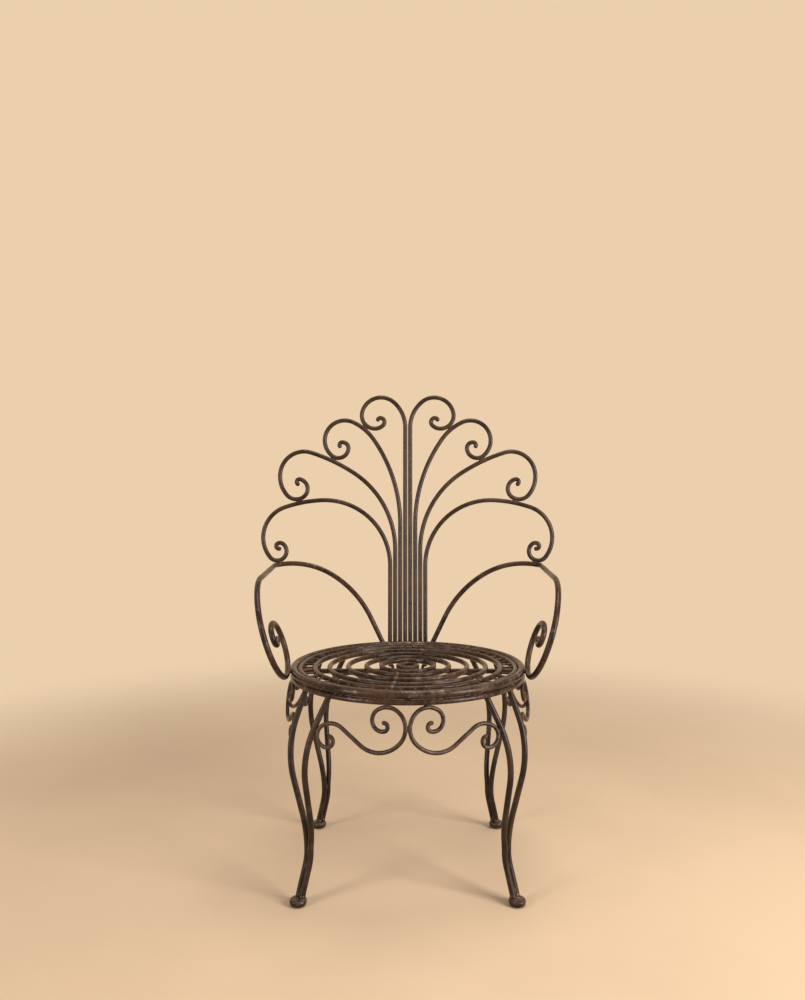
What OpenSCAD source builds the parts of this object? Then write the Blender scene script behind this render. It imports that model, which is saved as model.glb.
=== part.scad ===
// Wrought iron garden chair with a fan of scrolled back bars, scrolled arms and scrolled aprons.
// All sizes are in millimetres and degrees. The chair faces -Y, +Z is up, and it stands on Z = 0.

/* [Seat] */
// Height of the seat's top above the ground
seat_height = 399.5; // [385:0.5:420]
// Radius to the middle of the upper rim's bar
rim_radius = 225.6; // [215:0.1:236]
// Thickness of the upper rim's bar
rim_bar = 15; // [13:0.5:17]
// Thickness of the lower rim's bar
lower_rim_bar = 10; // [8:0.5:12]
// Thickness of the inner rim's bar
inner_rim_bar = 10; // [8:0.5:12]
// Thickness of the seat rings' bar
ring_bar = 10; // [8:0.5:11]
// Radius of the first ring, the outermost
ring_1_radius = 184; // [178:1:188]
// Radius of the second ring
ring_2_radius = 155; // [148:1:160]
// Radius of the third ring
ring_3_radius = 118; // [110:1:124]
// Radius of the fourth ring
ring_4_radius = 82; // [76:1:90]
// Radius of the fifth ring
ring_5_radius = 52; // [46:1:58]
// Radius of the smallest ring, in the middle
centre_ring_radius = 18.5; // [16:0.5:24]
// Thickness of the thin spokes round the seat's edge
spoke_bar = 4; // [3:0.5:5]
// Number of thin spokes
spoke_count = 48; // [36:1:56]
// Thickness of the crossed bars under the rings
cross_bar = 10; // [8:0.5:12]

/* [Back] */
// Thickness of the back's bars
back_bar = 10; // [8:0.5:10.5]
// Lean of the back from upright
recline = 4; // [2:0.5:7]
// Distance from one stem to the next
stem_pitch = 11.6; // [11:0.1:13]
// Length of a stem below the middle of the upper rim
stem_tail = 19; // [16:1:22]
// Height of the middle bars' straight stem above the middle of the upper rim
middle_stem = 502; // [470:2:530]
// Arch radius of the first pair of bars, the tallest
arch_1_radius = 80; // [76:1:84]
// Turn of the first pair's arch
arch_1_turn = 48; // [46:1:50]
// Arch radius of the second pair
arch_2_radius = 347; // [335:1:360]
// Turn of the second pair's arch
arch_2_turn = 35; // [34:0.5:36]
// Arch radius of the third pair
arch_3_radius = 214; // [206:1:222]
// Turn of the third pair's arch
arch_3_turn = 57; // [56:0.5:58]
// Arch radius of the fourth pair
arch_4_radius = 152.5; // [147:0.5:158]
// Turn of the fourth pair's arch
arch_4_turn = 92.5; // [91:0.5:94]

/* [Arms] */
// Thickness of the arms' bar
arm_bar = 11; // [9:0.5:12]
// Distance of the arm's lower end below the middle of the upper rim
arm_tail = 9; // [6:0.5:11]
// Slant of the arm where it leaves the seat, from upright
arm_slant = 26; // [25:0.5:28]
// Radius of the arm's rise
arm_rise_radius = 236; // [230:1:242]
// Turn of the arm's rise
arm_rise_turn = 32.5; // [31:0.5:34]
// Radius of the arm's crest, before it turns forwards
arm_crest_radius = 178; // [172:1:184]
// Turn of the arm's crest
arm_crest_turn = 38; // [37:0.5:40]
// Radius of the corner where the arm turns forwards
arm_corner_radius = 18; // [16:1:24]
// Outward flare of the armrest where it leaves the corner
arm_flare = 1; // [-1:0.5:2]
// Distance forwards from the seat's middle at which the armrest starts to droop
arm_reach = 30; // [24:1:38]
// Radius of the armrest's droop, before its scroll
arm_droop_radius = 152; // [140:1:165]
// Turn of the armrest's droop
arm_droop_turn = 50; // [46:0.5:54]
// Outward lean of the arm's scroll from upright
arm_lean = 17.5; // [15:0.5:20]
// Height of the scroll's lowest point above the middle of the upper rim
arm_foot_rise = 0; // [-1:0.5:3]
// Radius of the arm's inner curl
arm_curl_radius = 47; // [45:0.5:50]
// Radius of the arm's end curl
arm_end_radius = 17.5; // [16:0.5:19]

/* [Legs] */
// Thickness of the legs' bars
leg_bar = 11; // [9:0.5:12]
// Direction of each leg, from straight ahead or straight behind
leg_direction = 50; // [48:0.5:52]
// Inward lean at the foot
toe_lean = 16.5; // [14:0.5:19]
// Length of the straight toe, measured from the ground
toe_length = 66.5; // [60:0.5:72]
// Radius of the bend above the toe
ankle_radius = 94; // [84:1:104]
// Sideways lean of each bar away from its twin
splay = 6.5; // [5:0.5:7]
// Radius of the bend between the two bars of a leg
splay_radius = 130; // [115:5:150]
// Outward lean of the shin
shin_lean = 12.5; // [11:0.5:14]
// Radius of the bend below the shin
shin_radius = 235; // [225:1:245]
// Length of the straight shin
shin_length = 66; // [60:1:72]
// Radius of the knee
knee_radius = 162; // [154:1:170]
// Inward lean above the knee
thigh_lean = 27.5; // [25:0.5:30]
// Width of a foot
foot_width = 31; // [29:0.5:34]
// Height of a foot
foot_height = 19.5; // [17:0.5:22]
// Rounding of a foot's lower edge
foot_lower_round = 5; // [4:0.5:6]
// Rounding of a foot's upper edge
foot_upper_round = 3; // [2:0.5:4]

/* [Aprons] */
// Thickness of the aprons' bar
apron_bar = 7.5; // [6:0.5:8.5]
// Outward lean of the front and back aprons towards their lower edge
front_apron_lean = 11; // [9:0.5:13]
// Outward lean of the side aprons towards their lower edge
side_apron_lean = 8; // [6:0.5:10]
// Turn of the front and back aprons from the line across the chair
front_apron_yaw = 22.5; // [21:0.5:24]
// Turn of the side aprons from the line along the chair
side_apron_yaw = 14.5; // [13:0.5:16]
// Rise of the slanted length in the front and back aprons
front_apron_rise = 33; // [31:0.5:35]
// Rise of the slanted length in the side aprons
side_apron_rise = 38; // [36:0.5:40]
// Radius of the sweep into the front and back aprons' large scroll
front_sweep_radius = 57; // [53:0.5:60]
// Radius of the front and back aprons' large scroll
front_large_radius = 34.5; // [33:0.5:36]
// Radius of the sweep into the front and back aprons' small scroll
front_turn_radius = 35; // [32:0.5:38]
// Radius of the front and back aprons' small scroll
front_small_radius = 19.5; // [18:0.5:21]
// Radius of the sweep into the side aprons' large scroll
side_sweep_radius = 48; // [45:0.5:51]
// Radius of the side aprons' large scroll
side_large_radius = 33; // [31:0.5:34]
// Radius of the sweep into the side aprons' small scroll
side_turn_radius = 28; // [26:0.5:30]
// Radius of the side aprons' small scroll
side_small_radius = 19; // [17:0.5:20]

/* [Fit] */
// Gap left for the weld where two bars meet
weld_gap = 0.2; // [0.1:0.05:0.4]

/* [Hidden] */
$fn = 48;
ring_fn = 120;
iron = [0.18, 0.15, 0.14];
sample_step = 3;
joint_gap = 0.08;
origin = [[1, 0, 0, 0], [0, 1, 0, 0], [0, 0, 1, 0], [0, 0, 0, 1]];

// Bends of each pair of back bars after its arch: radius and turn, from the arch to the inner end
curls = [
    [[45.5, 122], [31, 107], [26, 39], [10.5, 108], [7, 90]],
    [[123, 29], [47, 167], [23.5, 127], [14, 96], [6.5, 110]],
    [[420, 15], [55.5, 94], [66.5, 55], [29.5, 75], [23.5, 139], [6.5, 155]],
    [[306, 16.5], [73.5, 110], [21.5, 196], [10.5, 70], [6.5, 150]],
];
arch_radii = [arch_1_radius, arch_2_radius, arch_3_radius, arch_4_radius];
arch_turns = [arch_1_turn, arch_2_turn, arch_3_turn, arch_4_turn];

// Places and turns as matrices, so that one bend can follow another
function shift(v) = [[1, 0, 0, v[0]], [0, 1, 0, v[1]], [0, 0, 1, v[2]], [0, 0, 0, 1]];
function turn_x(a) = [[1, 0, 0, 0], [0, cos(a), -sin(a), 0], [0, sin(a), cos(a), 0], [0, 0, 0, 1]];
function turn_y(a) = [[cos(a), 0, sin(a), 0], [0, 1, 0, 0], [-sin(a), 0, cos(a), 0], [0, 0, 0, 1]];
function turn_z(a) = [[cos(a), -sin(a), 0, 0], [sin(a), cos(a), 0, 0], [0, 0, 1, 0], [0, 0, 0, 1]];
function place(m) = [m[0][3], m[1][3], m[2][3]];
function unit(v) = v / norm(v);

// The frame that starts at a point, heads along h and bends towards another direction
function heading(point, h, towards) =
    let (z = unit(h), y = unit(cross(z, towards)), x = cross(y, z))
    [[x[0], y[0], z[0], point[0]], [x[1], y[1], z[1], point[1]], [x[2], y[2], z[2], point[2]], [0, 0, 0, 1]];

// A step is [radius, turn, roll]: a radius of 0 is a straight length, and roll turns the bar first
function roll(s) = turn_z(len(s) > 2 ? s[2] : 0);
function after(s) = s[0] == 0
    ? shift([0, 0, s[1]])
    : shift([sign(s[1]) * s[0], 0, 0]) * turn_y(s[1]) * shift([-sign(s[1]) * s[0], 0, 0]);
function frames(steps, m, i = 0) = i < len(steps)
    ? concat([m * roll(steps[i])], frames(steps, m * roll(steps[i]) * after(steps[i]), i + 1))
    : [m];
function last(list) = list[len(list) - 1];

// Points along the middle of a bent bar
function span(s) = s[0] == 0 ? s[1] : s[0] * abs(s[1]) * PI / 180;
function points(steps, m) =
    let (f = frames(steps, m))
    [for (i = [0:len(steps) - 1])
        let (n = ceil(span(steps[i]) / sample_step))
        for (k = [0:n])
            place(f[i] * after([steps[i][0], steps[i][1] * k / n]))];

// How far the moving points go along a unit vector before one is within s of the fixed points
function travel(moving, fixed, way, s) = min([
    for (q = moving)
        for (p = fixed)
            let (v = p - q, along = v * way, aside = v * v - along * along)
            if (along > 0 && aside < s * s)
                along - sqrt(s * s - aside)]);

// Distance from the chair's axis at which a bar at height z, s from a rim's middle, meets that rim
function outside_rim(radius, rim_z, s, z) = radius + sqrt(max(0, s * s - pow(z - rim_z, 2)));
function inside_rim(radius, rim_z, s, z) = radius - sqrt(max(0, s * s - pow(z - rim_z, 2)));

// Heights and radii of the seat's rims
rim_z = seat_height - rim_bar / 2;
lower_rim_z = rim_z - (rim_bar + lower_rim_bar) / 2 - weld_gap;
lower_rim_radius = rim_radius + (rim_bar - lower_rim_bar) / 2 - (rim_z - lower_rim_z) * tan(recline);
inner_rim_radius = rim_radius - (rim_bar + inner_rim_bar) / 2 - weld_gap;
cross_z = rim_z - (max(ring_bar, inner_rim_bar) + cross_bar) / 2 - weld_gap;
cross_top = cross_z + cross_bar / 2;
cross_end = min(
    lower_rim_radius - lower_rim_bar / 2 - weld_gap,
    inside_rim(rim_radius, rim_z, rim_bar / 2 + weld_gap, cross_top));

// Frames of the back: a stem stands behind the rim and leans back, and its bar bends outwards
back_reach = rim_radius + (rim_bar + back_bar) / 2 + weld_gap;
function stem_x(i) = stem_pitch * (i + 0.5);
function back_frame(x, y) = shift([x, y, rim_z]) * turn_x(-recline);
function stem_frame(i) = back_frame(stem_x(i), sqrt(pow(back_reach, 2) - pow(stem_x(i), 2)));
function bends(i) = concat([[arch_radii[i], arch_turns[i]]], curls[i]);
up_the_back = [0, sin(recline), cos(recline)];

// Each stem is as tall as lets its arch meet the scroll of the pair before
touch = back_bar + weld_gap;
stem_1 = middle_stem;
stem_2 = settle(1, stem_1);
stem_3 = settle(2, stem_2);
stem_4 = settle(3, stem_3);
stems = [stem_1, stem_2, stem_3, stem_4];
function bent_part(i, stem) = points(bends(i), stem_frame(i) * shift([0, 0, stem]));
function settle(i, stem_before) =
    travel(bent_part(i, 0), bent_part(i - 1, stem_before), up_the_back, touch);

// The arm starts beside the fourth stem, behind the rim, and rises in a plane like the back's
arm_touch = (back_bar + arm_bar) / 2 + weld_gap;
arm_rim_touch = (rim_bar + arm_bar) / 2 + weld_gap;
arm_root_x = stem_x(3) + arm_touch;
arm_root_y = max([for (k = [0:0.5:2 * arm_tail])
    let (x = arm_root_x + k * tan(arm_slant), z = rim_z - arm_tail + k)
    if (abs(z - rim_z) < arm_rim_touch)
        sqrt(pow(outside_rim(rim_radius, rim_z, arm_rim_touch, z), 2) - x * x) - (z - rim_z) * tan(recline)]);
arm_root = back_frame(arm_root_x, arm_root_y) * shift([0, 0, -arm_tail]) * turn_y(arm_slant);
arm_way = place(arm_root * shift([0, 0, 1])) - place(arm_root);
arm_bends = [
    [arm_rise_radius, arm_rise_turn],
    [arm_crest_radius, arm_crest_turn],
    [arm_corner_radius, 90 - arm_flare, recline - 90],
];
arm_straight = travel(points(arm_bends, arm_root), bent_part(3, stem_4), arm_way, arm_touch);
arm_steps = concat([[0, arm_straight]], arm_bends);
arm_corner = last(frames(arm_steps, arm_root));

// The arm's scroll lies in a plane that leans outwards, and its lowest part meets the rim
forwards = [0, -1, 0];
scroll_down = [-sin(arm_lean), 0, -cos(arm_lean)];
armrest_z = place(arm_corner)[2];
scroll_drop = (armrest_z - rim_z - arm_foot_rise) / cos(arm_lean);
scroll_radius = (scroll_drop - arm_droop_radius * (1 - cos(arm_droop_turn))) / (1 + cos(arm_droop_turn));
scroll_steps = [
    [arm_droop_radius, arm_droop_turn],
    [scroll_radius, 164],
    [arm_curl_radius, 178],
    [arm_end_radius, 208],
];
scroll_points = points(scroll_steps, heading([0, -arm_reach, armrest_z], forwards, scroll_down));
scroll_x = max([for (p = scroll_points)
    if (abs(p[2] - rim_z) < arm_rim_touch && abs(p[1]) < rim_radius)
        sqrt(pow(outside_rim(rim_radius, rim_z, arm_rim_touch, p[2]), 2) - p[1] * p[1]) - p[0]]);
scroll_frame = heading([scroll_x, -arm_reach, armrest_z], forwards, scroll_down);

// The armrest runs straight from the corner to where its droop starts
rest_start = place(arm_corner);
rest_way = place(scroll_frame) - rest_start;
rest_steps = [[0, norm(rest_way)]];
rest_frame = heading(rest_start, rest_way, scroll_down);

// A leg's bar starts at the ground, in a frame whose X points away from the chair's axis
knee_top = place(last(frames(leg_bends(1), turn_y(-toe_lean))))[2];
thigh_length = (rim_z - knee_top) / cos(thigh_lean) / cos(splay);
function leg_steps(side) = concat(leg_bends(side), [[0, thigh_length]]);
function leg_bends(side) = [
    [0, toe_length],
    [ankle_radius, toe_lean],
    [splay_radius, splay, side * 90],
    [shin_radius, shin_lean, -side * 90],
    [0, shin_length],
    [knee_radius, -shin_lean - thigh_lean],
];
leg_shift = (leg_bar + weld_gap) / 2;
leg_touch = (leg_bar + lower_rim_bar) / 2 + weld_gap;
leg_top = rim_z - inner_rim_bar / 2 - weld_gap;
leg_points = points(leg_steps(1), shift([0, leg_shift, 0]) * turn_y(-toe_lean));
foot_reach = min([for (p = leg_points)
    if (abs(p[2] - lower_rim_z) < leg_touch)
        sqrt(pow(inside_rim(lower_rim_radius, lower_rim_z, leg_touch, p[2]), 2) - p[1] * p[1]) - p[0]]);
function leg_frame(direction, side) =
    turn_z(direction - 90) * shift([foot_reach, side * leg_shift, 0]) * turn_y(-toe_lean);

// An apron's bar is an S: a slanted length with a large scroll at one end and a small one at the other
front_apron = [
    front_apron_yaw,
    front_apron_lean,
    front_apron_rise,
    [[front_sweep_radius, 49 + front_apron_rise], [front_large_radius, 168], [19, 162], [7, 166]],
    [[front_turn_radius, 32 + front_apron_rise], [front_small_radius, 166], [9.5, 152]],
    leg_direction,
];
side_apron = [
    side_apron_yaw,
    side_apron_lean,
    side_apron_rise,
    [[side_sweep_radius, 49 + side_apron_rise], [side_large_radius, 168], [15.5, 162], [6.5, 166]],
    [[side_turn_radius, 32 + side_apron_rise], [side_small_radius, 166], [8, 152]],
    90 - leg_direction,
];
apron_touch = (apron_bar + leg_bar) / 2 + weld_gap;
apron_top = lower_rim_z - (lower_rim_bar + apron_bar) / 2 - weld_gap;
half_turn = turn_y(180);

// The slanted length starts at the origin and points up and away from the middle of the apron
function slant(apron) = turn_z(apron[0]) * turn_x(-apron[1]) * turn_y(90 - apron[2]);
function highest(list, i = 0, best = 0) = i < len(list)
    ? highest(list, i + 1, list[i][2] > list[best][2] ? i : best)
    : list[best];
function slant_place(apron) =
    let (
        scroll = points(apron[3], slant(apron) * half_turn),
        x = (apron_bar + weld_gap) / 2 - min([for (p = scroll) p[0]]),
        top = highest(scroll))
    [x, -sqrt(pow(lower_rim_radius, 2) - pow(top[0] + x, 2)) - top[1], apron_top - top[2]];
function apron_frame(apron) = shift(slant_place(apron)) * slant(apron);

// The slanted length ends where the small scroll meets the nearer bar of the leg
function slant_length(apron) =
    let (m = apron_frame(apron), way = place(m * shift([0, 0, 1])) - place(m))
    travel(
        points(apron[4], m),
        [for (p = points(leg_steps(-1), leg_frame(apron[5], -1))) if (p[2] > leg_top / 2) p],
        way,
        apron_touch);
front_slant = slant_length(front_apron);
side_slant = slant_length(side_apron);

// The chair is centred between its foremost and rearmost points
front_points = points(front_apron[3], apron_frame(front_apron) * half_turn);
front_edge = min([for (p = front_points) p[1]]) - apron_bar / 2;
back_edge = max(-front_edge, max([for (p = bent_part(0, stem_1)) p[1]]) + back_bar / 2);
centre_shift = -(front_edge + back_edge) / 2;

// One straight or bent length of bar, from its own origin, a hair short inside the ball at each end
module bar_length(d, s) {
    if (s[0] == 0)
        translate([0, 0, joint_gap])
            cylinder(d = d, h = s[1] - 2 * joint_gap);
    else
        rotate([0, 0, s[1] < 0 ? 180 : 0])
            translate([s[0], 0, 0])
                rotate([90, 0, 180])
                    rotate([0, 0, joint_gap / s[0] * 180 / PI])
                        rotate_extrude(angle = abs(s[1]) - 2 * joint_gap / s[0] * 180 / PI, $fn = 96)
                            translate([s[0], 0])
                                circle(d = d);
}

// A ball that rounds a bar's end or joins two lengths of it, turned so that its seam meets no other
module bar_ball(d, m) {
    multmatrix(m)
        rotate([0, 0, 45])
            sphere(d = d * 1.01);
}

// A bar made of lengths that follow each other, joined and ended by balls a hair wider than the bar
module bent_bar(d, steps, m) {
    f = frames(steps, m);
    for (i = [0:len(steps) - 1])
        multmatrix(f[i])
            bar_length(d, steps[i]);
    for (i = [1:len(steps)])
        bar_ball(d, f[i]);
}

// Everything is drawn round the seat's middle and then centred
module centred() {
    color(iron)
        translate([0, centre_shift, 0])
            children();
}

// The right-hand form, or its mirror image on the left
module sided(side) {
    if (side < 0)
        mirror([1, 0, 0])
            children();
    else
        children();
}

module ring(radius, z, d) {
    centred()
        translate([0, 0, z])
            rotate_extrude($fn = ring_fn)
                translate([radius, 0])
                    circle(d = d);
}

module seat_spokes() {
    inner = ring_1_radius + ring_bar / 2 + weld_gap;
    outer = inner_rim_radius - inner_rim_bar / 2 - weld_gap;
    centred()
        for (i = [0:spoke_count - 1])
            rotate([0, 0, (i + 0.5) * 360 / spoke_count])
                translate([inner, 0, rim_z])
                    rotate([0, 90, 0])
                        cylinder(d = spoke_bar, h = outer - inner);
}

module seat_crossbar_side() {
    centred()
        translate([-cross_end, 0, cross_z])
            rotate([0, 90, 0])
                cylinder(d = cross_bar, h = 2 * cross_end);
}

module seat_crossbar_half(side) {
    start = cross_bar / 2 + weld_gap;
    centred()
        rotate([0, 0, side * 90])
            translate([start, 0, cross_z])
                rotate([0, 90, 0])
                    cylinder(d = cross_bar, h = cross_end - start);
}

module back_scroll(side, i) {
    m = stem_frame(i) * shift([0, 0, -stem_tail]);
    centred()
        sided(side)
            bent_bar(back_bar, concat([[0, stem_tail + stems[i]]], bends(i)), m);
}

module arm(side) {
    centred()
        sided(side) {
            bar_ball(arm_bar, arm_root);
            bent_bar(arm_bar, arm_steps, arm_root);
            bent_bar(arm_bar, rest_steps, rest_frame);
            bent_bar(arm_bar, scroll_steps, scroll_frame);
        }
}

// The leg's bar is cut level on top of its foot and under the inner rim
module leg(side, back, twin) {
    centred()
        mirror([0, back, 0])
            sided(side)
                intersection() {
                    bent_bar(leg_bar, leg_steps(twin), leg_frame(leg_direction, twin));
                    translate([0, -rim_radius * 2, foot_height])
                        cube([rim_radius * 2, rim_radius * 2, leg_top - foot_height]);
                }
}

module foot(side, back) {
    r = foot_width / 2;
    centred()
        mirror([0, back, 0])
            sided(side)
                rotate([0, 0, leg_direction - 90])
                    translate([foot_reach, 0, 0])
                        rotate_extrude() {
                            square([r - foot_lower_round, foot_height]);
                            translate([r - foot_lower_round, foot_lower_round])
                                circle(r = foot_lower_round);
                            translate([0, foot_lower_round])
                                square([r, foot_height - foot_lower_round - foot_upper_round]);
                            translate([r - foot_upper_round, foot_height - foot_upper_round])
                                circle(r = foot_upper_round);
                            square([r - foot_upper_round, foot_height]);
                        }
}

// One S of an apron: the half on the +X side of an apron that faces -Y
module apron_scroll(apron, slant_length) {
    m = apron_frame(apron);
    bar_ball(apron_bar, m);
    bent_bar(apron_bar, apron[3], m * half_turn);
    bent_bar(apron_bar, concat([[0, slant_length]], apron[4]), m);
}

module front_scroll(side, back) {
    centred()
        mirror([0, back, 0])
            sided(side)
                apron_scroll(front_apron, front_slant);
}

module side_scroll(side, back) {
    centred()
        mirror([0, back, 0])
            sided(side)
                rotate([0, 0, 90])
                    mirror([1, 0, 0])
                        apron_scroll(side_apron, side_slant);
}

ring(rim_radius, rim_z, rim_bar);  // seat_rim_upper
ring(lower_rim_radius, lower_rim_z, lower_rim_bar);  // seat_rim_lower
ring(inner_rim_radius, rim_z, inner_rim_bar);  // seat_rim_inner
ring(ring_1_radius, rim_z, ring_bar);  // seat_ring_1
ring(ring_2_radius, rim_z, ring_bar);  // seat_ring_2
ring(ring_3_radius, rim_z, ring_bar);  // seat_ring_3
ring(ring_4_radius, rim_z, ring_bar);  // seat_ring_4
ring(ring_5_radius, rim_z, ring_bar);  // seat_ring_5
ring(centre_ring_radius, rim_z, ring_bar);  // seat_ring_centre
seat_spokes();
seat_crossbar_side();
seat_crossbar_half(-1);  // seat_crossbar_front
seat_crossbar_half(1);  // seat_crossbar_back
back_scroll(-1, 0);  // back_bar_left_1
back_scroll(-1, 1);  // back_bar_left_2
back_scroll(-1, 2);  // back_bar_left_3
back_scroll(-1, 3);  // back_bar_left_4
back_scroll(1, 0);  // back_bar_right_1
back_scroll(1, 1);  // back_bar_right_2
back_scroll(1, 2);  // back_bar_right_3
back_scroll(1, 3);  // back_bar_right_4
arm(-1);  // arm_left
arm(1);  // arm_right
leg(-1, 0, -1);  // leg_front_left_inner
leg(-1, 0, 1);  // leg_front_left_outer
leg(1, 0, -1);  // leg_front_right_inner
leg(1, 0, 1);  // leg_front_right_outer
leg(-1, 1, -1);  // leg_back_left_inner
leg(-1, 1, 1);  // leg_back_left_outer
leg(1, 1, -1);  // leg_back_right_inner
leg(1, 1, 1);  // leg_back_right_outer
foot(-1, 0);  // foot_front_left
foot(1, 0);  // foot_front_right
foot(-1, 1);  // foot_back_left
foot(1, 1);  // foot_back_right
front_scroll(-1, 0);  // apron_front_left
front_scroll(1, 0);  // apron_front_right
front_scroll(-1, 1);  // apron_back_left
front_scroll(1, 1);  // apron_back_right
side_scroll(-1, 0);  // apron_left_front
side_scroll(-1, 1);  // apron_left_back
side_scroll(1, 0);  // apron_right_front
side_scroll(1, 1);  // apron_right_back
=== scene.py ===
# Dresses the wrought iron garden chair: painted iron, weld beads, and a plain pale stage.
# Every size is in metres. The sitter faces -Y, +Z is up, and the chair stands on Z = 0.
import functools
import math
import random

import bmesh
import bpy
import numpy as np
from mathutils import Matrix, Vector
from mathutils.bvhtree import BVHTree


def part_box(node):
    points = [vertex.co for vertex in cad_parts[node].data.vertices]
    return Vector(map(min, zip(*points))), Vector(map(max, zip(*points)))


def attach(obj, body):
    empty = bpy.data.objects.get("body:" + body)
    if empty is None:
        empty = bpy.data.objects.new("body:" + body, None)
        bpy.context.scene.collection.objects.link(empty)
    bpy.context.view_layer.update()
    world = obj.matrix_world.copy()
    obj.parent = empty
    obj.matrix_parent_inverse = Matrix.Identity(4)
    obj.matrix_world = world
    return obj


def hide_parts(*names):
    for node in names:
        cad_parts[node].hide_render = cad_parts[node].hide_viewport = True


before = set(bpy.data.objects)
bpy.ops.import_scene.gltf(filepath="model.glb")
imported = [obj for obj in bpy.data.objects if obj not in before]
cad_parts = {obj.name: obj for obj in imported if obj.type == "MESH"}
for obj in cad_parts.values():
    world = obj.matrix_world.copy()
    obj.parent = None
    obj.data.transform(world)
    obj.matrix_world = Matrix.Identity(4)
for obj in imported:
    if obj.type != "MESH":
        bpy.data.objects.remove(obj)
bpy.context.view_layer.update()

# Thickness of each kind of bar that is welded
RING_BAR = 0.010
BACK_BAR = 0.010
LEG_BAR = 0.011
APRON_BAR = 0.0075
SPOKE_BAR = 0.004
SPOKES = 48

SIDES = ("left", "right")
ENDS = ("front", "back")
TWINS = ("inner", "outer")
BACK_BARS = (1, 2, 3, 4)
RINGS = ("seat_ring_1", "seat_ring_2", "seat_ring_3", "seat_ring_4", "seat_ring_5", "seat_ring_centre")
CROSSBARS = ("seat_crossbar_side", "seat_crossbar_front", "seat_crossbar_back")

UP = Vector((0, 0, 1))


# The camera stands where the photograph was taken from: level, and straight in front of the chair

PHOTO_WIDTH = 805
PHOTO_HEIGHT = 1000
# Focal length in the photograph's pixels, and the pixel that the camera looks straight at
FOCAL = 780
AIM_COLUMN = 407.7
AIM_ROW = 495
# Width of the sensor in millimetres
SENSOR = 36
CAMERA_HEIGHT = 0.734
# Distance from the camera to the middle of the seat
CAMERA_DISTANCE = 1.560


def add_camera():
    """The photograph's viewpoint, with a small shift for its framing."""
    rim_low, rim_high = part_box("seat_rim_upper")
    seat_middle = (rim_low.y + rim_high.y) / 2
    data = bpy.data.cameras.new("photograph_view")
    data.sensor_width = SENSOR
    data.lens = SENSOR * FOCAL / PHOTO_HEIGHT
    data.shift_x = (PHOTO_WIDTH / 2 - AIM_COLUMN) / PHOTO_HEIGHT
    data.shift_y = (AIM_ROW - PHOTO_HEIGHT / 2) / PHOTO_HEIGHT
    camera = bpy.data.objects.new("photograph_view", data)
    camera.location = (0, seat_middle - CAMERA_DISTANCE, CAMERA_HEIGHT)
    camera.rotation_euler = (math.radians(90), 0, 0)
    bpy.context.scene.collection.objects.link(camera)
    bpy.context.scene.camera = camera


# Helpers for building shader node trees


def wire(tree, source, target):
    """Joins an output to an input, or sets the input where the source is a plain value."""
    if isinstance(source, bpy.types.NodeSocket):
        tree.links.new(source, target)
    else:
        target.default_value = source


def noise(tree, place, scale, detail=2.0, roughness=0.5, distortion=0.0):
    """Cloudy noise over the surface, from 0 to 1. scale is how many clouds lie in a metre."""
    node = tree.nodes.new("ShaderNodeTexNoise")
    wire(tree, place, node.inputs["Vector"])
    node.inputs["Scale"].default_value = scale
    node.inputs["Detail"].default_value = detail
    node.inputs["Roughness"].default_value = roughness
    node.inputs["Distortion"].default_value = distortion
    return node.outputs["Fac"]


def ramp(tree, value, low, high, to_low=0.0, to_high=1.0):
    """Stretches a value's range smoothly, and holds it at both ends."""
    node = tree.nodes.new("ShaderNodeMapRange")
    node.interpolation_type = "SMOOTHSTEP"
    wire(tree, value, node.inputs["Value"])
    node.inputs["From Min"].default_value = low
    node.inputs["From Max"].default_value = high
    node.inputs["To Min"].default_value = to_low
    node.inputs["To Max"].default_value = to_high
    return node.outputs["Result"]


def work_out(tree, step, first, second):
    """One step of arithmetic on two values."""
    node = tree.nodes.new("ShaderNodeMath")
    node.operation = step
    wire(tree, first, node.inputs[0])
    wire(tree, second, node.inputs[1])
    return node.outputs[0]


def product(tree, value, *others):
    """All the values multiplied together."""
    for other in others:
        value = work_out(tree, "MULTIPLY", value, other)
    return value


def add_share(tree, value, other, share):
    """A value plus a share of another."""
    return work_out(tree, "ADD", value, product(tree, other, share))


def blend_colour(tree, share, first, second):
    """Goes from the first colour to the second by the share."""
    node = tree.nodes.new("ShaderNodeMix")
    node.data_type = "RGBA"
    wire(tree, share, node.inputs["Factor"])
    wire(tree, first, node.inputs["A"])
    wire(tree, second, node.inputs["B"])
    return node.outputs["Result"]


def mix_shaders(tree, share, first, second, output):
    """Goes from the first shader to the second by the share, and puts the result out."""
    node = tree.nodes.new("ShaderNodeMixShader")
    wire(tree, share, node.inputs["Fac"])
    wire(tree, first, node.inputs[1])
    wire(tree, second, node.inputs[2])
    wire(tree, node.outputs["Shader"], output.inputs["Surface"])


def new_group(name, takes, gives):
    """An empty shader group. takes lists (name, kind, default) inputs, gives (name, kind) outputs."""
    group = bpy.data.node_groups.new(name, "ShaderNodeTree")
    for label, kind, default in takes:
        socket = group.interface.new_socket(name=label, in_out="INPUT", socket_type="NodeSocket" + kind)
        if default is not None:
            socket.default_value = default
    for label, kind in gives:
        group.interface.new_socket(name=label, in_out="OUTPUT", socket_type="NodeSocket" + kind)
    entry = group.nodes.new("NodeGroupInput")
    leave = group.nodes.new("NodeGroupOutput")
    return group, entry.outputs, leave.inputs


def place_group(tree, group, **values):
    """Puts a group into a material and sets its inputs. An underscore stands for a space."""
    node = tree.nodes.new("ShaderNodeGroup")
    node.node_tree = group
    for label, value in values.items():
        wire(tree, value, node.inputs[label.replace("_", " ")])
    return node.outputs


# The iron's colours: thick, thin and thinnest paint, then where it is rubbed, dusty or rusty; the pale
# rubbed and dusty colours, laid most on upper faces, partly paint a sheen of light there

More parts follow.
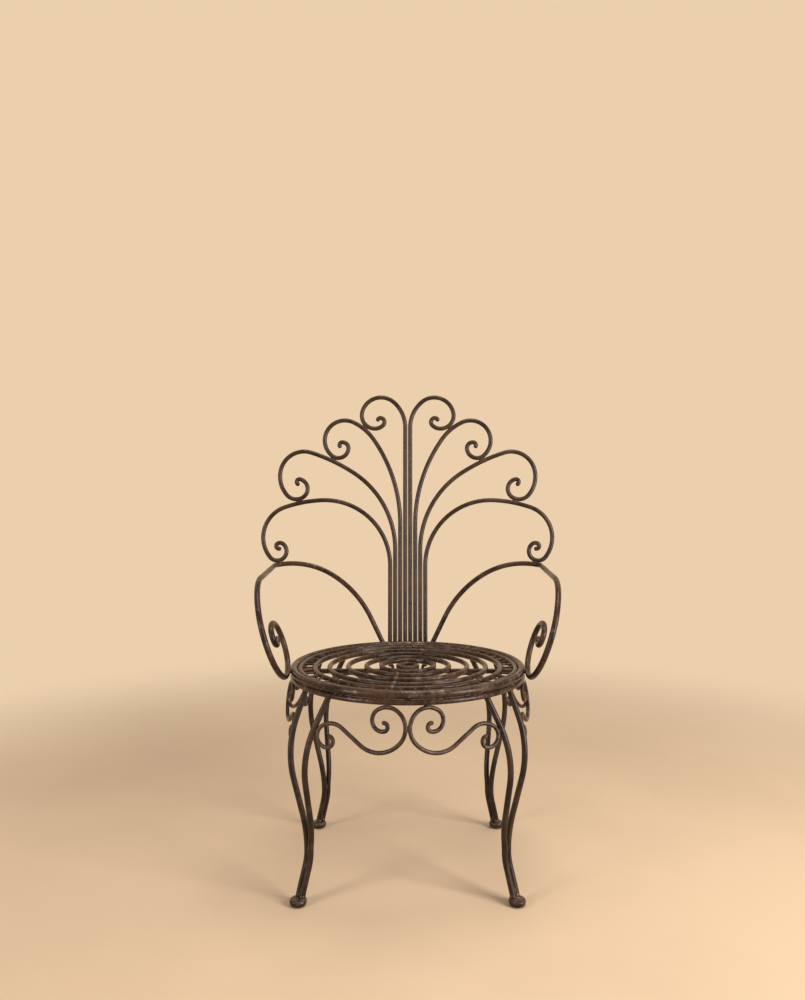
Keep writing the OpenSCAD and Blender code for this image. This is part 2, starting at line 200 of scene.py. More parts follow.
DEEP_PAINT = (0.0115, 0.0047, 0.0023, 1)
MIDDLE_PAINT = (0.052, 0.0245, 0.0120, 1)
PALE_PAINT = (0.165, 0.107, 0.078, 1)
WEAR_AND_SHEEN_COLOUR = (0.23, 0.17, 0.145, 1)
DUST_AND_SHEEN_COLOUR = (0.25, 0.19, 0.165, 1)
RUST_COLOUR = (0.095, 0.032, 0.012, 1)


# Effects that the iron finishes share

# Depth of the slow waver and of the fine scale, as shares of a dent's depth
WAVER_DEPTH = 0.9
SCALE_DEPTH = 0.12


def make_hammer_marks():
    """Shallow dents left by the smith's hammer, with finer scale marks in them."""
    group, takes, gives = new_group(
        "hammer_marks",
        takes=[("Place", "Vector", None), ("Dent Size", "Float", 0.009)],
        gives=[("Height", "Float")],
    )
    dents = group.nodes.new("ShaderNodeTexVoronoi")
    dents.feature = "SMOOTH_F1"
    dents.inputs["Smoothness"].default_value = 0.6
    wire(group, takes["Place"], dents.inputs["Vector"])
    wire(group, work_out(group, "DIVIDE", 1.0, takes["Dent Size"]), dents.inputs["Scale"])
    waver = noise(group, takes["Place"], scale=55.0, detail=3.0)
    fine = noise(group, takes["Place"], scale=420.0, detail=3.0, roughness=0.6)
    height = add_share(group, dents.outputs["Distance"], waver, WAVER_DEPTH)
    height = add_share(group, height, fine, SCALE_DEPTH)
    wire(group, height, gives["Height"])
    return group


def make_paint_tone():
    """Dark paint that goes from brown-black to brown in patches, with a pale grey-brown mottle."""
    group, takes, gives = new_group(
        "paint_tone",
        takes=[
            ("Place", "Vector", None),
            ("Deep", "Color", DEEP_PAINT),
            ("Middle", "Color", MIDDLE_PAINT),
            ("Pale", "Color", PALE_PAINT),
            ("Mottle", "Float", 0.30),
        ],
        gives=[("Colour", "Color"), ("Patches", "Float")],
    )
    broad = noise(group, takes["Place"], scale=16.0, detail=4.0, roughness=0.6, distortion=0.4)
    patches = ramp(group, broad, low=0.36, high=0.66)
    small = noise(group, takes["Place"], scale=130.0, detail=4.0, roughness=0.65)
    mottle = ramp(group, small, low=0.38, high=0.72)
    colour = blend_colour(group, patches, takes["Deep"], takes["Middle"])
    colour = blend_colour(group, product(group, mottle, takes["Mottle"]), colour, takes["Pale"])
    wire(group, colour, gives["Colour"])
    wire(group, patches, gives["Patches"])
    return group


def make_surface_mask(name, amount, cloud, edge, facing):
    """Cloudy patches that favour upper faces: rubbed paint or settled dust, by their values, each partly a
    painted sheen on the tops.

    cloud holds the noise's values, and edge and facing the ramps of the noise and of the upward slope.
    """
    group, takes, gives = new_group(
        name,
        takes=[("Place", "Vector", None), ("Normal", "Vector", None), ("Amount", "Float", amount)],
        gives=[("Mask", "Float")],
    )
    parts = group.nodes.new("ShaderNodeSeparateXYZ")
    wire(group, takes["Normal"], parts.inputs[0])
    # Upper faces get more of the pale patches, which partly paints a sheen of light on the tops
    upper = ramp(group, parts.outputs["Z"], **facing)
    patches = ramp(group, noise(group, takes["Place"], **cloud), **edge)
    wire(group, product(group, patches, upper, takes["Amount"]), gives["Mask"])
    return group


def make_wear_and_top_sheen():
    """Where hands, clothes and weather have rubbed the paint thin, most of it on upper faces, where its pale
    colour is partly a painted sheen.
    """
    return make_surface_mask(
        "wear_and_top_sheen",
        amount=0.5,
        cloud=dict(scale=38.0, detail=5.0, roughness=0.7, distortion=0.6),
        edge=dict(low=0.52, high=0.68),
        facing=dict(low=-0.5, high=0.9, to_low=0.25),
    )


def make_dust_and_top_sheen():
    """Pale dust that lies on upper faces and gathers in patches, and partly paints the sky's reflection on
    the tops.
    """
    return make_surface_mask(
        "dust_and_top_sheen",
        amount=0.15,
        cloud=dict(scale=75.0, detail=5.0, roughness=0.7),
        edge=dict(low=0.30, high=0.75),
        facing=dict(low=0.25, high=1.0),
    )


def make_rust_specks():
    """Small red-brown specks where the paint has chipped."""
    group, takes, gives = new_group(
        "rust_specks",
        takes=[("Place", "Vector", None), ("Amount", "Float", 0.35)],
        gives=[("Mask", "Float")],
    )
    fine = noise(group, takes["Place"], scale=310.0, detail=3.0, roughness=0.7)
    specks = ramp(group, fine, low=0.64, high=0.72)
    where = ramp(group, noise(group, takes["Place"], scale=24.0), low=0.48, high=0.66)
    wire(group, product(group, specks, where, takes["Amount"]), gives["Mask"])
    return group


HAMMER_MARKS = make_hammer_marks()
PAINT_TONE = make_paint_tone()
WEAR_AND_TOP_SHEEN = make_wear_and_top_sheen()
DUST_AND_TOP_SHEEN = make_dust_and_top_sheen()
RUST_SPECKS = make_rust_specks()


# The iron finishes

# How far below its finish's roughness the paint lies, where it is thick and where it is thin
THICK_PAINT_SMOOTHER = 0.14
THIN_PAINT_SMOOTHER = 0.02
# What rubbing takes from the roughness, and what dust and rust add to it
RUBBING_SMOOTHS = 0.08
DUST_ROUGHENS = 0.35
RUST_ROUGHENS = 0.25
# How metallic the paint is, whole and rubbed
WHOLE_METALLIC = 0.10
RUBBED_METALLIC = 0.70
# How strongly the hammer marks bend the light
MARK_STRENGTH = 0.45


def lifted(colour, lift):
    """A paint colour made paler or deeper."""
    return tuple(channel * lift for channel in colour[:3]) + (1,)


def iron_finish(
    name, dent_size=0.009, dent_depth=0.00018, wear_and_sheen=0.5, dust_and_sheen=0.15, rust=0.35,
    roughness=0.34, shine=0.22, mottle=0.30, lift=1.0,
):
    """Satin dark paint on forged bar.

    The amounts of wear, dust, rust and mottle say how much of each there is; the pale wear and dust on upper
    faces are partly a painted sheen.
    shine is the paint's reflection, and lift makes its colours paler or deeper.
    """
    material = bpy.data.materials.new(name)
    material.use_nodes = True
    tree = material.node_tree
    shader = tree.nodes["Principled BSDF"]
    shader.inputs["Specular IOR Level"].default_value = shine
    place = tree.nodes.new("ShaderNodeTexCoord").outputs["Object"]
    normal = tree.nodes.new("ShaderNodeNewGeometry").outputs["Normal"]
    paint = place_group(
        tree, PAINT_TONE, Place=place, Mottle=mottle,
        Deep=lifted(DEEP_PAINT, lift), Middle=lifted(MIDDLE_PAINT, lift), Pale=lifted(PALE_PAINT, lift),
    )
    wear_and_sheen_mask = place_group(tree, WEAR_AND_TOP_SHEEN, Place=place, Normal=normal, Amount=wear_and_sheen)["Mask"]
    dust_and_sheen_mask = place_group(tree, DUST_AND_TOP_SHEEN, Place=place, Normal=normal, Amount=dust_and_sheen)["Mask"]
    rusty = place_group(tree, RUST_SPECKS, Place=place, Amount=rust)["Mask"]
    # The pale wear and dust colours, strongest on upper faces, are partly a painted sheen
    colour = blend_colour(tree, wear_and_sheen_mask, paint["Colour"], WEAR_AND_SHEEN_COLOUR)
    colour = blend_colour(tree, rusty, colour, RUST_COLOUR)
    colour = blend_colour(tree, dust_and_sheen_mask, colour, DUST_AND_SHEEN_COLOUR)
    wire(tree, colour, shader.inputs["Base Color"])
    rough = ramp(
        tree, paint["Patches"], low=0.0, high=1.0,
        to_low=roughness - THICK_PAINT_SMOOTHER, to_high=roughness - THIN_PAINT_SMOOTHER,
    )
    rough = work_out(tree, "SUBTRACT", rough, product(tree, wear_and_sheen_mask, RUBBING_SMOOTHS))
    rough = add_share(tree, rough, dust_and_sheen_mask, DUST_ROUGHENS)
    rough = add_share(tree, rough, rusty, RUST_ROUGHENS)
    wire(tree, rough, shader.inputs["Roughness"])
    metal = ramp(tree, wear_and_sheen_mask, low=0.0, high=1.0, to_low=WHOLE_METALLIC, to_high=RUBBED_METALLIC)
    wire(tree, metal, shader.inputs["Metallic"])
    bump = tree.nodes.new("ShaderNodeBump")
    bump.inputs["Strength"].default_value = MARK_STRENGTH
    bump.inputs["Distance"].default_value = dent_depth
    marks = place_group(tree, HAMMER_MARKS, Place=place, Dent_Size=dent_size)
    wire(tree, marks["Height"], bump.inputs["Height"])
    wire(tree, bump.outputs["Normal"], shader.inputs["Normal"])
    return material


def dress(material, *nodes):
    """Gives CAD pieces their finish."""
    for node in nodes:
        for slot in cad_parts[node].material_slots:
            slot.material = material


def dress_the_seat():
    """The thick rims carry the largest dents, the seat's top is rubbed and carries a painted sheen, and the
    crossbars stay dark.
    """
    # The rim's high wear and dust amounts partly paint the broad pale highlight along its top
    rim = iron_finish(
        "rim_iron", dent_size=0.016, dent_depth=0.0003, wear_and_sheen=0.75, dust_and_sheen=0.20, roughness=0.36,
    )
    seat = iron_finish("seat_iron", dent_size=0.010, wear_and_sheen=0.65, rust=0.25)
    under = iron_finish("crossbar_iron", dent_size=0.010, wear_and_sheen=0.15, dust_and_sheen=0.10, roughness=0.40, lift=0.8)
    dress(rim, "seat_rim_upper", "seat_rim_lower")
    dress(seat, "seat_rim_inner", "seat_spokes", *RINGS)
    dress(under, *CROSSBARS)


def dress_the_frame():
    """The back's smooth scrolls, the armrests, the dark legs and the thin aprons."""
    scroll = iron_finish(
        "scroll_iron", dent_size=0.010, dent_depth=0.0001, wear_and_sheen=0.20, dust_and_sheen=0.08,
        roughness=0.40, shine=0.36, mottle=0.16, lift=0.85,
    )
    armrest = iron_finish(
        "armrest_iron", dent_size=0.012, dent_depth=0.00012, wear_and_sheen=0.40, dust_and_sheen=0.08,
        roughness=0.38, mottle=0.2,
    )
    leg = iron_finish(
        "leg_iron", dent_size=0.012, wear_and_sheen=0.25, dust_and_sheen=0.05, rust=0.45,
        roughness=0.46, shine=0.32, mottle=0.12, lift=0.62,
    )
    thin = iron_finish("apron_iron", dent_size=0.008, dent_depth=0.00015, wear_and_sheen=0.35, dust_and_sheen=0.10, lift=0.9)
    for side in SIDES:
        dress(scroll, *[f"back_bar_{side}_{bar}" for bar in BACK_BARS])
        dress(armrest, f"arm_{side}")
        for end in ENDS:
            dress(leg, *[f"leg_{end}_{side}_{twin}" for twin in TWINS])
            dress(thin, f"apron_{end}_{side}", f"apron_{side}_{end}")


# Finding the welds: each lies where two pieces of the frame all but touch

# Spacing of the points that are searched along a surface's edges
SEARCH_STEP = 0.003
# How near another piece a point is for the two to meet there, and the widest gap that is welded
NEAR = 0.0035
WELD_GAP = 0.0006
# Meetings closer together than this are one weld
APART = 0.030
# Times that a point goes between two surfaces to settle where they are nearest
SETTLE_TURNS = 40


@functools.cache
def surface_points(node):
    """Points over a node's surface, at its corners and along its longer edges."""
    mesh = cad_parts[node].data
    corners = np.empty(len(mesh.vertices) * 3)
    mesh.vertices.foreach_get("co", corners)
    corners = corners.reshape(-1, 3)
    ends = np.empty(len(mesh.edges) * 2, int)
    mesh.edges.foreach_get("vertices", ends)
    ends = ends.reshape(-1, 2)
    way = corners[ends[:, 1]] - corners[ends[:, 0]]
    counts = np.ceil(np.linalg.norm(way, axis=1) / SEARCH_STEP).astype(int)
    which = np.repeat(np.arange(len(ends)), counts)
    step = np.arange(len(which)) - np.repeat(np.cumsum(counts) - counts, counts)
    share = step / counts[which]
    return corners[ends[which, 0]] + way[which] * share[:, None]


@functools.cache
def surface_tree(node):
    """A node's surface, ready for finding its nearest point."""
    return BVHTree.FromObject(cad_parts[node], bpy.context.evaluated_depsgraph_get())


def near_points(node, other):
    """Points of one piece that lie near the other, the nearest first."""
    low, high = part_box(other)
    points = surface_points(node)
    inside = np.all((points > np.array(low) - NEAR) & (points < np.array(high) + NEAR), axis=1)
    found = []
    for point in points[inside]:
        place, _, _, distance = surface_tree(other).find_nearest(Vector(point), NEAR)
        if place is not None:
            found.append((distance, Vector(point)))
    found.sort(key=lambda pair: pair[0])
    return [point for _, point in found]


def settle(node, other, point):
    """Goes back and forth between two surfaces until the nearest points are found."""
    on_node = point
    for _ in range(SETTLE_TURNS):
        on_other = surface_tree(other).find_nearest(on_node)[0]
        on_node = surface_tree(node).find_nearest(on_other)[0]
    return on_node, on_other


def lie_of_weld(points, middle, gap):
    """Unit directions along a weld, where the surfaces stay close, and across it, over the gap."""
    across = gap.normalized() if gap.length > 0 else UP
    around = np.array([tuple(point - middle) for point in points if (point - middle).length < APART / 2])
    if len(around) > 2:
        around = around - np.outer(around @ np.array(across), across)
        along = Vector(np.linalg.eigh(around.T @ around)[1][:, 2])
    else:
        along = across.orthogonal()
    return (along - along.dot(across) * across).normalized(), across


def meetings(node, other):
    """Where two pieces meet: (middle, direction along the meeting, direction across it)."""
    points = near_points(node, other)
    places = []
    for point in points:
        if all((point - seen).length >= APART for seen in places):
            places.append(point)
    welds = []
    for place in places:
        on_node, on_other = settle(node, other, place)
        gap = on_other - on_node
        middle = (on_node + on_other) / 2
        welded = any((middle - weld[0]).length < APART / 2 for weld in welds)
        if gap.length <= WELD_GAP and not welded:
            welds.append((middle, *lie_of_weld(points, middle, gap)))
    return welds


# Making the beads

# Rows of points along a bead, and points round each row
BEAD_ROWS = 15
BEAD_SIDES = 14
# How fast a bead's ends narrow: 0 keeps it a rod, and 1 makes it a pointed lens
BEAD_TAPER = 0.45
# Width and height of a bead, as shares of the thinner bar that it joins
BEAD_WIDTH = 0.84
BEAD_HEIGHT = 0.46
# Spacing and depth of the ripples that the weld pool left, with depths as shares of the bead
RIPPLE_SPACING = 0.0016
RIPPLE_DEPTH = 0.06
# How far a bead strays sideways, and how uneven its surface is, as shares of it
BEAD_STRAY = 0.15
BEAD_LUMPS = 0.04

# The same for the weld that runs right round the end of a leg's bar
COLLAR_ROWS = 40
COLLAR_SIDES = 10
COLLAR_THICKNESS = 0.0028
COLLAR_RIPPLES = 17
COLLAR_RIPPLE_DEPTH = 0.10
COLLAR_LUMPS = 0.05

# Each family of welds has its own dice, so that a change to one leaves the others as they are
DICE = {"back": 11, "arms": 12, "legs": 13, "aprons": 14, "seat": 15, "closing": 16, "feet": 17}


def outwards(angle):
    """The level unit direction at an angle round the seat or a bar."""
    return Vector((math.cos(angle), math.sin(angle), 0))


def skin(mesh, before, after):
    """A band of faces between two loops of points."""
    count = len(before)
    for this in range(count):
        following = (this + 1) % count
        mesh.faces.new((before[this], before[following], after[following], after[this]))


def add_bead(mesh, dice, middle, along, across, length, width, height):
    """One weld bead: a lens of metal along a meeting, with the ripples that the weld pool left."""
    outward = along.cross(across)
    ripples = length / RIPPLE_SPACING
    phase = dice.uniform(0, math.tau)
    stray = dice.uniform(-BEAD_STRAY, BEAD_STRAY)
    loops = []
    for row in range(1, BEAD_ROWS):
        share = row / BEAD_ROWS
        swell = math.sin(math.pi * share) ** BEAD_TAPER
        ripple = 1 + RIPPLE_DEPTH * math.sin(ripples * math.tau * share + phase)
        loop = []
        for side in range(BEAD_SIDES):
            angle = math.tau * side / BEAD_SIDES
            size = swell * ripple * (1 + dice.uniform(-BEAD_LUMPS, BEAD_LUMPS))
            aside = math.cos(angle) * width / 2 * size + stray * width * (share - 0.5)
            rise = math.sin(angle) * height / 2 * size
            place = middle + along * (share - 0.5) * length + outward * aside + across * rise
            loop.append(mesh.verts.new(place))
        loops.append(loop)
    for before, after in zip(loops, loops[1:]):
        skin(mesh, before, after)
    for loop, sign in ((loops[0], -1), (loops[-1], 1)):
        tip = mesh.verts.new(middle + along * sign * length / 2)
        for side in range(BEAD_SIDES):
            mesh.faces.new((tip, loop[side], loop[(side + 1) % BEAD_SIDES]))


def add_collar(mesh, dice, middle, radius):
    """A weld run right round the end of an upright bar, on a level face."""
    phase = dice.uniform(0, math.tau)
    loops = []
    for row in range(COLLAR_ROWS):
        angle = math.tau * row / COLLAR_ROWS
        ripple = 1 + COLLAR_RIPPLE_DEPTH * math.sin(angle * COLLAR_RIPPLES + phase)
        half = COLLAR_THICKNESS / 2 * (ripple + dice.uniform(-COLLAR_LUMPS, COLLAR_LUMPS))
        loop = []
        for side in range(COLLAR_SIDES):
            around = math.tau * side / COLLAR_SIDES
            reach = radius + math.cos(around) * half
            loop.append(mesh.verts.new(middle + outwards(angle) * reach + UP * math.sin(around) * half))
        loops.append(loop)
    for before, after in zip(loops, loops[1:] + loops[:1]):
        skin(mesh, before, after)


def finish_piece(name, mesh, material):
    """Turns a bmesh into a smooth-shaded piece that rides on the chair."""
    bmesh.ops.recalc_face_normals(mesh, faces=mesh.faces)
    data = bpy.data.meshes.new(name)
    mesh.to_mesh(data)
    mesh.free()
    for face in data.polygons:
        face.use_smooth = True
    data.materials.append(material)
    piece = bpy.data.objects.new(name, data)
    bpy.context.scene.collection.objects.link(piece)
    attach(piece, "root")
    return piece


def bead_all(mesh, dice, pairs, bar, length):
    """Beads at every meeting of the listed pairs. bar is the thinner bar's thickness."""
    for node, other in pairs:
        for meeting in meetings(node, other):
            add_bead(mesh, dice, *meeting, length, width=bar * BEAD_WIDTH, height=bar * BEAD_HEIGHT)


# The welds, family by family


def weld_the_back(material):
    """The scrolls to the bars below them, and the stems to the rims."""
    dice = random.Random(DICE["back"])
    mesh = bmesh.new()
    for side in SIDES:
        bars = [f"back_bar_{side}_{bar}" for bar in BACK_BARS]
        bead_all(mesh, dice, zip(bars, bars[1:]), BACK_BAR, length=0.015)
        bead_all(mesh, dice, [(bar, "seat_rim_upper") for bar in bars], BACK_BAR, length=0.011)
        bead_all(mesh, dice, [(bar, "seat_rim_lower") for bar in bars], BACK_BAR, length=0.009)
    finish_piece("welds_of_the_back", mesh, material)


def weld_the_arms(material):
    """Each arm to the fourth scroll and stem, and to the seat's rim at its root and its scroll."""
    dice = random.Random(DICE["arms"])
    mesh = bmesh.new()
    for side in SIDES:
        arm = f"arm_{side}"
        pairs = [(arm, f"back_bar_{side}_{BACK_BARS[-1]}"), (arm, "seat_rim_upper")]
        bead_all(mesh, dice, pairs, BACK_BAR, length=0.014)
    finish_piece("welds_of_the_arms", mesh, material)


def weld_the_legs(material):
    """Twin bars to each other and to the lower rim."""
    dice = random.Random(DICE["legs"])
    mesh = bmesh.new()
    for end in ENDS:
        for side in SIDES:
            twins = [f"leg_{end}_{side}_{twin}" for twin in TWINS]
            bead_all(mesh, dice, [twins], LEG_BAR, length=0.018)
            bead_all(mesh, dice, [(leg, "seat_rim_lower") for leg in twins], LEG_BAR, length=0.013)
    finish_piece("welds_of_the_legs", mesh, material)


def weld_the_aprons(material):
    """Each S to its twin, to the lower rim and to the leg."""
    dice = random.Random(DICE["aprons"])
    mesh = bmesh.new()
    for end in ENDS:
        bead_all(mesh, dice, [(f"apron_{end}_left", f"apron_{end}_right")], APRON_BAR, length=0.010)
    for side in SIDES:
        bead_all(mesh, dice, [(f"apron_{side}_front", f"apron_{side}_back")], APRON_BAR, length=0.010)
        for end in ENDS:
            legs = [f"leg_{end}_{side}_{twin}" for twin in TWINS]
            for apron in (f"apron_{end}_{side}", f"apron_{side}_{end}"):
                bead_all(mesh, dice, [(apron, "seat_rim_lower")], APRON_BAR, length=0.011)
                bead_all(mesh, dice, [(apron, leg) for leg in legs], APRON_BAR, length=0.009)
    finish_piece("welds_of_the_aprons", mesh, material)


def ring_size(node):
    """A round bar's (middle, radius to the middle of the bar, thickness of the bar)."""
    low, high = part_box(node)
    bar = high.z - low.z
    return (low + high) / 2, (high.x - low.x - bar) / 2, bar


# How far a spoke's welds stand off the rings beside it
SPOKE_WELD_OFF = 0.0006
# Least and greatest size of a spoke's weld, and how thick it is, as shares of the spoke
SPOKE_WELD_SIZE = (1.25, 1.5)
SPOKE_WELD_HEIGHT = 0.6
# Welds between the rims: how many, how thick, and their widths as shares of the bar they hold
RIM_TACKS = 16
TACK_HEIGHT = 0.0045
LOWER_TACK_WIDTH = 0.92
INNER_TACK_WIDTH = 0.86
# Where a rim's weld may lie within its share of the rim
TACK_PLACE = (0.35, 0.65)


def weld_the_spokes(mesh, dice):
    """A small weld at both ends of each spoke."""
    middle, ring_radius, ring_bar = ring_size("seat_ring_1")
    _, rim_radius, rim_bar = ring_size("seat_rim_inner")
    inner_end = ring_radius + ring_bar / 2 + SPOKE_WELD_OFF
    outer_end = rim_radius - rim_bar / 2 - SPOKE_WELD_OFF
    for spoke in range(SPOKES):
        out = outwards(math.tau * (spoke + 0.5) / SPOKES)
        for radius in (inner_end, outer_end):
            size = SPOKE_BAR * dice.uniform(*SPOKE_WELD_SIZE)
            add_bead(
                mesh, dice, middle + out * radius, out.cross(UP), out,
                length=size, width=size, height=SPOKE_BAR * SPOKE_WELD_HEIGHT,
            )


def tack_the_rims(mesh, dice):
    """Short welds that hold the lower rim under the upper one, and the inner rim beside it."""
    middle, upper_radius, upper_bar = ring_size("seat_rim_upper")
    _, lower_radius, lower_bar = ring_size("seat_rim_lower")
    _, inner_radius, inner_bar = ring_size("seat_rim_inner")
    for tack in range(RIM_TACKS):
        out = outwards(math.tau * (tack + dice.uniform(*TACK_PLACE)) / RIM_TACKS)
        below = middle - UP * upper_bar / 2 + out * (upper_radius + lower_radius) / 2
        add_bead(
            mesh, dice, below, out.cross(UP), UP,
            length=0.014, width=lower_bar * LOWER_TACK_WIDTH, height=TACK_HEIGHT,
        )
        beside = middle + out * (inner_radius + inner_bar / 2)
        add_bead(
            mesh, dice, beside, out.cross(UP), out,
            length=0.012, width=inner_bar * INNER_TACK_WIDTH, height=TACK_HEIGHT,
        )


def weld_the_seat(material):
    """Rings to the crossbars, the crossbars to each other, and the spokes and rims."""
    dice = random.Random(DICE["seat"])
    mesh = bmesh.new()
    for ring in RINGS:
        bead_all(mesh, dice, [(ring, bar) for bar in CROSSBARS], RING_BAR, length=0.010)
    bead_all(mesh, dice, [(bar, CROSSBARS[0]) for bar in CROSSBARS[1:]], RING_BAR, length=0.008)
    weld_the_spokes(mesh, dice)
    tack_the_rims(mesh, dice)
    finish_piece("welds_of_the_seat", mesh, material)


# How far left of the middle each ring's ends were welded together, from the outside in
CLOSING_WELDS = (0.027, 0.0245, 0.0215, 0.0195, 0.0185)
# Least and greatest thickness and length of such a weld, as shares of the ring's bar
CLOSING_WELD_SIZE = (1.14, 1.26)
CLOSING_WELD_LENGTH = (1.0, 1.4)


def close_the_rings(material):
    """The short thick welds that close each ring, in a rough line near the front of the seat."""
    dice = random.Random(DICE["closing"])
    mesh = bmesh.new()
    for ring, left in zip(RINGS, CLOSING_WELDS):
        middle, radius, bar = ring_size(ring)
        angle = math.asin(left / radius)
        out = Vector((-math.sin(angle), -math.cos(angle), 0))
        size = bar * dice.uniform(*CLOSING_WELD_SIZE)
        length = bar * dice.uniform(*CLOSING_WELD_LENGTH)
        add_bead(mesh, dice, middle + out * radius, UP.cross(out), UP, length, width=size, height=size)
    finish_piece("closing_welds", mesh, material)


# The feet

# Outline of a foot's cup from the ground to its top: (radius, height)
CUP = (
    (0.0085, 0.0), (0.0116, 0.0006), (0.0138, 0.0021), (0.0151, 0.0046), (0.0155, 0.0073),
    (0.0153, 0.0096), (0.0148, 0.0110), (0.0139, 0.0118), (0.0125, 0.0121), (0.0070, 0.0121),
)
CUP_SIDES = 48
# How far a leg's end runs up inside the leg and down inside the cup, and how much thinner it is
END_OVERLAP = 0.003
END_DEPTH = 0.006
END_THINNING = 0.00003
END_SIDES = 32
# Heights above its CAD foot at which a leg's direction is read
AXIS_LOW = 2 * SEARCH_STEP
AXIS_HIGH = 12 * SEARCH_STEP


def leg_axis(leg, foot_top):
    """Where a leg's bar crosses the top of its CAD foot, and its unit direction downwards."""
    points = surface_points(leg)

    def crossing(height):
        """The middle of the bar at a height."""
        near = points[np.abs(points[:, 2] - height) < SEARCH_STEP]
        middle = (near.min(axis=0) + near.max(axis=0)) / 2
        return Vector((middle[0], middle[1], height))

    low, high = crossing(foot_top + AXIS_LOW), crossing(foot_top + AXIS_HIGH)
    down = (low - high).normalized()
    return low + down * (low.z - foot_top) / -down.z, down


def skin_closed(mesh, loops):
    """Faces along a row of loops, with a flat face at both ends."""
    for before, after in zip(loops, loops[1:]):
        skin(mesh, before, after)
    mesh.faces.new(loops[0][::-1])
    mesh.faces.new(loops[-1])


def add_lathed(mesh, middle, outline, sides):
    """Turns an outline round an upright axis and closes both of its ends."""
    turns = [outwards(math.tau * side / sides) for side in range(sides)]
    loops = []
    for radius, height in outline:
        loops.append([mesh.verts.new(middle + turn * radius + UP * height) for turn in turns])
    skin_closed(mesh, loops)


def add_rod(mesh, start, end, radius, sides):
    """A plain length of round bar."""
    along = (end - start).normalized()
    aside = along.orthogonal().normalized()
    across = along.cross(aside)
    turns = [outwards(math.tau * side / sides) for side in range(sides)]
    loops = []
    for point in (start, end):
        loops.append([mesh.verts.new(point + radius * (turn.x * aside + turn.y * across)) for turn in turns])
    skin_closed(mesh, loops)


def set_the_feet(foot_iron, weld_iron):
    """Each foot is a low cup, and its leg's two bars run down into it with a weld round them."""
    dice = random.Random(DICE["feet"])
    welds = bmesh.new()
    for end in ENDS:
        for side in SIDES:
            foot = f"foot_{end}_{side}"
            low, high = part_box(foot)
            middle = Vector(((low.x + high.x) / 2, (low.y + high.y) / 2, low.z))
            mesh = bmesh.new()
            add_lathed(mesh, middle, CUP, CUP_SIDES)
            cup_top = middle.z + CUP[-1][1]
            for twin in TWINS:
                crossing, down = leg_axis(f"leg_{end}_{side}_{twin}", high.z)
                fall = (high.z - cup_top) / -down.z
                top = crossing - down * END_OVERLAP
                bottom = crossing + down * (fall + END_DEPTH)
                add_rod(mesh, top, bottom, LEG_BAR / 2 - END_THINNING, END_SIDES)
                add_collar(welds, dice, crossing + down * fall, LEG_BAR / 2)
            piece = finish_piece(foot + "_cup", mesh, foot_iron)
            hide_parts(foot)
    finish_piece("welds_of_the_feet", welds, weld_iron)


def weld_the_chair():
    """All the weld beads, and the cups of the feet, in their own finishes."""
    weld = iron_finish(
        "weld_iron", dent_size=0.004, wear_and_sheen=0.80, dust_and_sheen=0.40, rust=0.20, roughness=0.36, lift=1.6,
    )
    # The welds that close the rings are painted pale all over, with full wear and dust; this paleness is a
    # painted highlight
    painted_highlight_weld = iron_finish("closing_weld_painted_highlight", dent_size=0.004, wear_and_sheen=1.0, dust_and_sheen=1.0, rust=0.0, lift=1.9)
    foot = iron_finish(
        "foot_iron", dent_size=0.012, dent_depth=0.0003, wear_and_sheen=0.75, dust_and_sheen=0.60, rust=0.70, lift=0.85,
    )
    weld_the_back(weld)
    weld_the_arms(weld)
    weld_the_legs(weld)
    weld_the_aprons(weld)
    weld_the_seat(weld)
    close_the_rings(painted_highlight_weld)
    set_the_feet(foot, weld)


# A plain pale floor that fades into the backdrop, and soft studio light

# The floor is painted the backdrop's colour, and its palest clouds are this much paler
BACKDROP = (0.84, 0.63, 0.42, 1)
FLOOR_PALER = 1.05
FLOOR_HALF = 6.0
FLOOR_CELLS = 8
# The floor is plain near the chair, and becomes the backdrop between these distances
FADE_START = 0.8
FADE_END = 2.1

SKY_COLOUR = (1.0, 0.93, 0.84, 1)
SKY_STRENGTH = 0.13

# The lamps point at the middle of the chair
LAMP_AIM = (0, 0, 0.45)


def floor_material():
    """Matt pale paint, which turns into the backdrop's own glow far from the chair."""
    material = bpy.data.materials.new("pale_floor")
    material.use_nodes = True
    tree = material.node_tree
    shader = tree.nodes["Principled BSDF"]
    shader.inputs["Roughness"].default_value = 0.85
    shader.inputs["Specular IOR Level"].default_value = 0.2
    place = tree.nodes.new("ShaderNodeTexCoord").outputs["Object"]
    cloud = ramp(tree, noise(tree, place, scale=2.2, detail=4.0, roughness=0.55), low=0.35, high=0.65)
    paler = tuple(min(1, channel * FLOOR_PALER) for channel in BACKDROP[:3]) + (1,)
    wire(tree, blend_colour(tree, cloud, BACKDROP, paler), shader.inputs["Base Color"])
    distance = tree.nodes.new("ShaderNodeVectorMath")
    distance.operation = "LENGTH"
    wire(tree, place, distance.inputs[0])
    far = ramp(tree, distance.outputs["Value"], FADE_START, FADE_END)
    glow = tree.nodes.new("ShaderNodeEmission")
    glow.inputs["Color"].default_value = BACKDROP
    glow.inputs["Strength"].default_value = 1.0
    output = tree.nodes["Material Output"]
    mix_shaders(tree, far, shader.outputs["BSDF"], glow.outputs["Emission"], output)
    return material


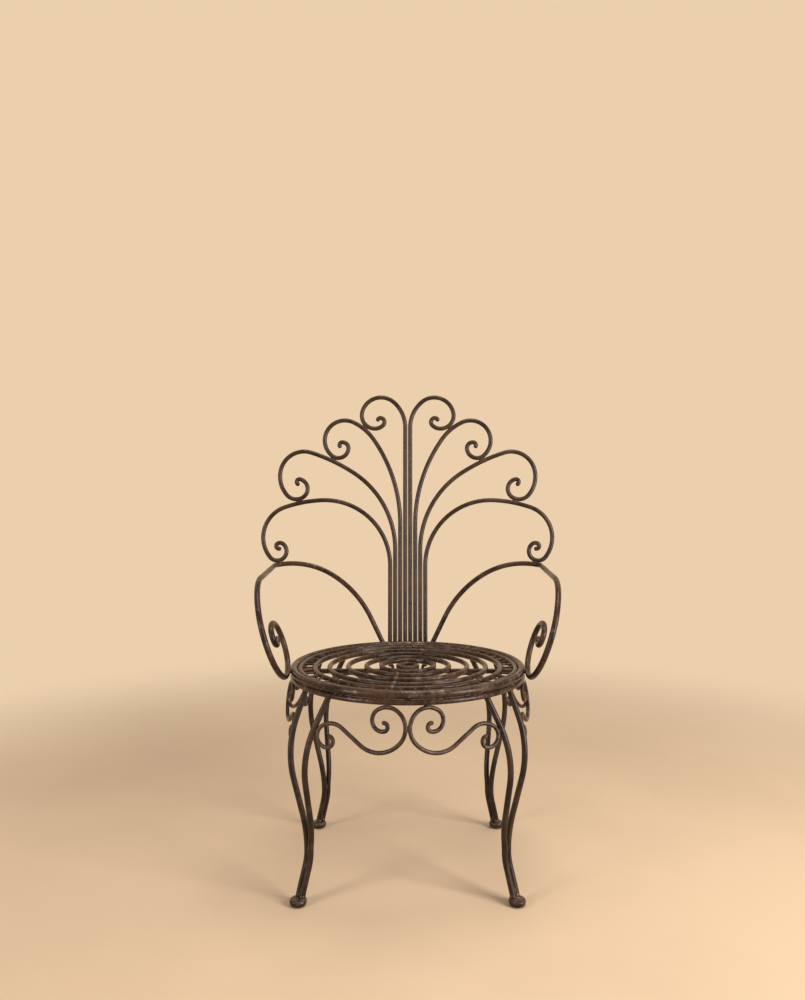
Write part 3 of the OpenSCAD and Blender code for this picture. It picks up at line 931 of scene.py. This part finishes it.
def make_floor():
    """A level floor that keeps the chair's shadow and fades into the backdrop far away."""
    data = bpy.data.meshes.new("floor")
    mesh = bmesh.new()
    bmesh.ops.create_grid(mesh, x_segments=FLOOR_CELLS, y_segments=FLOOR_CELLS, size=FLOOR_HALF)
    mesh.to_mesh(data)
    mesh.free()
    data.materials.append(floor_material())
    floor = bpy.data.objects.new("floor", data)
    bpy.context.scene.collection.objects.link(floor)


def make_world():
    """The backdrop's colour for what the camera and the metal see, and a plain soft sky for light."""
    world = bpy.data.worlds.new("studio")
    bpy.context.scene.world = world
    world.use_nodes = True
    tree = world.node_tree
    seen = tree.nodes["Background"]
    seen.inputs["Color"].default_value = BACKDROP
    seen.inputs["Strength"].default_value = 1.0
    sky = tree.nodes.new("ShaderNodeBackground")
    sky.inputs["Color"].default_value = SKY_COLOUR
    sky.inputs["Strength"].default_value = SKY_STRENGTH
    path = tree.nodes.new("ShaderNodeLightPath")
    shows = work_out(tree, "MAXIMUM", path.outputs["Is Camera Ray"], path.outputs["Is Glossy Ray"])
    shows = work_out(tree, "MAXIMUM", shows, path.outputs["Is Transmission Ray"])
    output = tree.nodes["World Output"]
    mix_shaders(tree, shows, sky.outputs["Background"], seen.outputs["Background"], output)


def add_lamp(name, place, width, height, power, colour):
    """A soft box that points at the chair. power is in watts."""
    data = bpy.data.lights.new(name, "AREA")
    data.shape = "RECTANGLE"
    data.size = width
    data.size_y = height
    data.energy = power
    data.color = colour
    lamp = bpy.data.objects.new(name, data)
    lamp.location = place
    lamp.rotation_euler = (Vector(LAMP_AIM) - Vector(place)).to_track_quat("-Z", "Y").to_euler()
    bpy.context.scene.collection.objects.link(lamp)


def light_the_chair():
    """A tall soft box on the right, a weaker one on the left, and a square one above."""
    add_lamp("right_light", (2.3, -1.7, 1.1), width=1.2, height=2.0, power=96, colour=(1, 0.94, 0.90))
    add_lamp("left_light", (-2.4, -1.9, 1.1), width=0.9, height=2.0, power=42, colour=(1, 0.94, 0.91))
    add_lamp("top_light", (0.3, 0.1, 3.0), width=1.4, height=1.4, power=34, colour=(1, 0.94, 0.89))


add_camera()
make_world()
make_floor()
light_the_chair()
dress_the_seat()
dress_the_frame()
weld_the_chair()
bpy.context.scene.view_settings.view_transform = "Standard"
